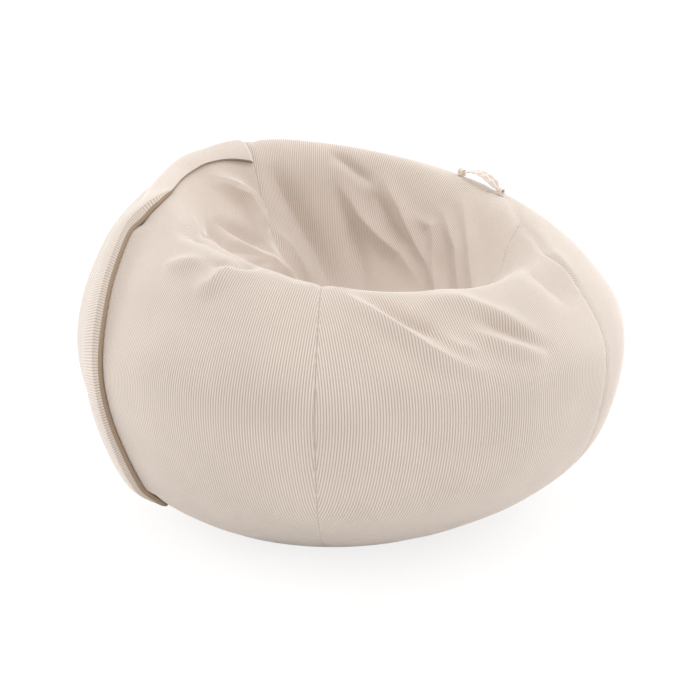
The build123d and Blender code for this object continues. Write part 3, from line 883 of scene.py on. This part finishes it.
flap, flap_length = flap_piece()
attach(flap, "bag")
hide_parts("zip_flap")
placket = placket_piece()
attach(placket, "bag")
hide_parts("zip_placket")

# Carry strap between its two loops: its middle and its way are those of the joint that it swings on
strap_middle = np.array((370.791, -3.480, 601.822))
strap_way = np.array((0.041781, 0.984226, 0.171910))
strap_half = 52.0
strap_rise = 16.0
strap_end_width = 13.0
strap_full_width = 30.0
strap_thickness = 3.0


def strap_piece():
    up = np.array((0.0, 0.0, 1.0)) - strap_way * strap_way[2]
    up /= np.linalg.norm(up)
    side = np.cross(strap_way, up)
    places = np.linspace(-1, 1, 90)
    width = strap_end_width + (strap_full_width - strap_end_width) * ease(1 - np.abs(places), 0.0, 0.35)
    rise = strap_rise * (1 - places**2) + 0.8 * np.sin(places * 17)
    turns = np.linspace(0, 2 * np.pi, 28, endpoint=False)
    closed = (np.abs(places) < 1).astype(float)
    flat = np.sign(np.cos(turns)) * np.abs(np.cos(turns)) ** 0.5
    thick = np.sign(np.sin(turns)) * np.abs(np.sin(turns)) ** 0.7
    ribs = 0.5 + 0.5 * np.cos(2 * np.pi * flat * strap_full_width / 2 / wale_pitch)
    grid = (
        strap_middle + strap_way * (places * strap_half)[:, None, None] + up * rise[:, None, None]
        + side * (width[:, None] / 2 * flat)[..., None]
        + up * (closed[:, None] * (strap_thickness / 2 + 0.3 * ribs) * thick)[..., None]
    )
    faces = strip_faces(len(places), len(turns) + 1)
    faces = faces // (len(turns) + 1) * len(turns) + faces % (len(turns) + 1) % len(turns)
    shade = np.broadcast_to(ribs, (len(places), len(turns)))
    return new_mesh(
        "carry_handle_cord", grid.reshape(-1, 3), faces, cord,
        {"ridge": shade.ravel(), "edge": far_from_seam + 0 * shade.ravel()}
    )


strap = strap_piece()
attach(strap, "carry_handle")
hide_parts("carry_handle")

# Blank care label in the back seam
label_reach = 26.0
label_places = (1.1, 1.5)


def label_piece():
    lengths = np.linspace(length_at(label_places[0]), length_at(label_places[1]), 24)
    points = bag_points(np.full_like(lengths, back_azimuth), lengths)
    normals = bag_normals(np.full_like(lengths, back_azimuth), lengths)
    side = np.array((math.cos(math.radians(back_azimuth)), math.sin(math.radians(back_azimuth)), 0.0))
    reach = np.linspace(-3.0, label_reach, 16)
    bend = 4.0 * (np.clip(reach, 0, None) / label_reach) ** 2
    grid = points[:, None, :] + normals[:, None, :] * reach[None, :, None] + side * bend[None, :, None]
    faces = strip_faces(len(lengths), len(reach))
    return new_mesh("care_label_cloth", grid.reshape(-1, 3), faces, label_cloth)


label = label_piece()
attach(label, "bag")
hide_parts("care_label")


# Base: its wales are drawn wider apart, as it lies on the floor
base_pitch = 24.5
base_samples = 161
base_height = 0.8
base_wale_height = 0.3


def base_piece():
    azimuth, share, faces = round_patch(base_samples)
    rim = bag_points(azimuth, np.zeros_like(azimuth))
    middle = np.array((0.0, pole_back, 0.0))
    points = middle + (rim - middle) * share[:, None]
    ridge = 0.5 + 0.5 * np.cos(2 * np.pi * points[:, 0] / base_pitch)
    points[:, 2] = base_height - base_wale_height * ridge
    values = {"ridge": ridge, "edge": far_from_seam + 0 * ridge}
    return new_mesh("base_cord", points, faces[:, ::-1], cord, values)


base = base_piece()
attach(base, "bag")
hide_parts("base_panel")

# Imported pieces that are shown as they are
for node, material in (
    ("zip_tape_front", tape_cloth),
    ("zip_tape_rear", tape_cloth),
    ("zip_coil_front", coil_plastic),
    ("zip_coil_rear", coil_plastic),
    ("zip_top_stop", zip_paint),
    ("zip_bottom_stop", zip_paint),
    ("zip_slider", zip_paint),
    ("zip_pull", zip_paint),
    ("handle_loop_front", webbing),
    ("handle_loop_rear", webbing),
):
    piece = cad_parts[node]
    piece.data.materials.clear()
    piece.data.materials.append(material)


# Floor, light and camera
def math_node(tree, operation):
    node = tree.nodes.new("ShaderNodeMath")
    node.operation = operation
    node.use_clamp = True
    return node


bpy.ops.mesh.primitive_plane_add(size=40, location=(0, 0, -0.0005))
floor = bpy.context.object
floor.name = "studio_floor"
floor_paint = plain_material("studio_floor_paint", (0.93, 0.93, 0.93), (0.92, 0.92, 0.92), 2.0, 0.9)
floor.data.materials.append(floor_paint)
paint_tree = floor_paint.node_tree
paint = paint_tree.nodes["Principled BSDF"]
glow = paint_tree.nodes.new("ShaderNodeEmission")
glow.inputs["Strength"].default_value = 1.12
path = paint_tree.nodes.new("ShaderNodeLightPath")
direct = math_node(paint_tree, "ADD")
seen_ways = math_node(paint_tree, "ADD")
part_glow = math_node(paint_tree, "MULTIPLY")
part_glow.inputs[1].default_value = 0.7
whiten = paint_tree.nodes.new("ShaderNodeMixShader")
link(paint_tree, path.outputs["Is Camera Ray"], direct.inputs[0])
link(paint_tree, path.outputs["Is Glossy Ray"], direct.inputs[1])
link(paint_tree, direct.outputs["Value"], seen_ways.inputs[0])
link(paint_tree, path.outputs["Is Transmission Ray"], seen_ways.inputs[1])
link(paint_tree, seen_ways.outputs["Value"], part_glow.inputs[0])
link(paint_tree, part_glow.outputs["Value"], whiten.inputs["Fac"])
link(paint_tree, paint.outputs["BSDF"], whiten.inputs[1])
link(paint_tree, glow.outputs["Emission"], whiten.inputs[2])
link(paint_tree, whiten.outputs["Shader"], paint_tree.nodes["Material Output"].inputs["Surface"])

world = bpy.data.worlds.new("studio")
bpy.context.scene.world = world
world.use_nodes = True
tree = world.node_tree
soft_light = tree.nodes["Background"]
soft_light.inputs["Color"].default_value = (1.0, 0.99, 0.98, 1.0)
soft_light.inputs["Strength"].default_value = 1.05
seen = tree.nodes.new("ShaderNodeBackground")
seen.inputs["Color"].default_value = (1.0, 1.0, 1.0, 1.0)
seen.inputs["Strength"].default_value = 1.0
ray = tree.nodes.new("ShaderNodeLightPath")
choose = tree.nodes.new("ShaderNodeMixShader")
link(tree, ray.outputs["Is Camera Ray"], choose.inputs["Fac"])
link(tree, soft_light.outputs["Background"], choose.inputs[1])
link(tree, seen.outputs["Background"], choose.inputs[2])
link(tree, choose.outputs["Shader"], tree.nodes["World Output"].inputs["Surface"])


def area_light(name, place, target, size, power):
    lamp = bpy.data.lights.new(name, "AREA")
    lamp.size = size
    lamp.energy = power
    holder = bpy.data.objects.new(name, lamp)
    bpy.context.scene.collection.objects.link(holder)
    holder.location = place
    holder.rotation_euler = (Vector(target) - Vector(place)).to_track_quat("-Z", "Y").to_euler()


area_light("key", (0.5, -0.3, 3.6), (0, 0, 0.3), 1.4, 25)
area_light("left", (-2.0, 3.2, 1.5), (-0.3, 0.2, 0.35), 1.5, 30)
area_light("right", (3.0, -0.6, 1.6), (0, 0, 0.35), 1.6, 22)

lens = bpy.data.cameras.new("camera")
lens.sensor_width = sensor_width
lens.lens = focal_pixels / image_size * sensor_width
lens.shift_x = 0.5 - image_middle[0] / image_size
lens.shift_y = image_middle[1] / image_size - 0.5
camera = bpy.data.objects.new("camera", lens)
bpy.context.scene.collection.objects.link(camera)
camera.location = Vector(camera_place)
camera.rotation_euler = Vector(camera_back).to_track_quat("Z", "Y").to_euler()
bpy.context.scene.camera = camera
bpy.context.scene.view_settings.view_transform = "Standard"
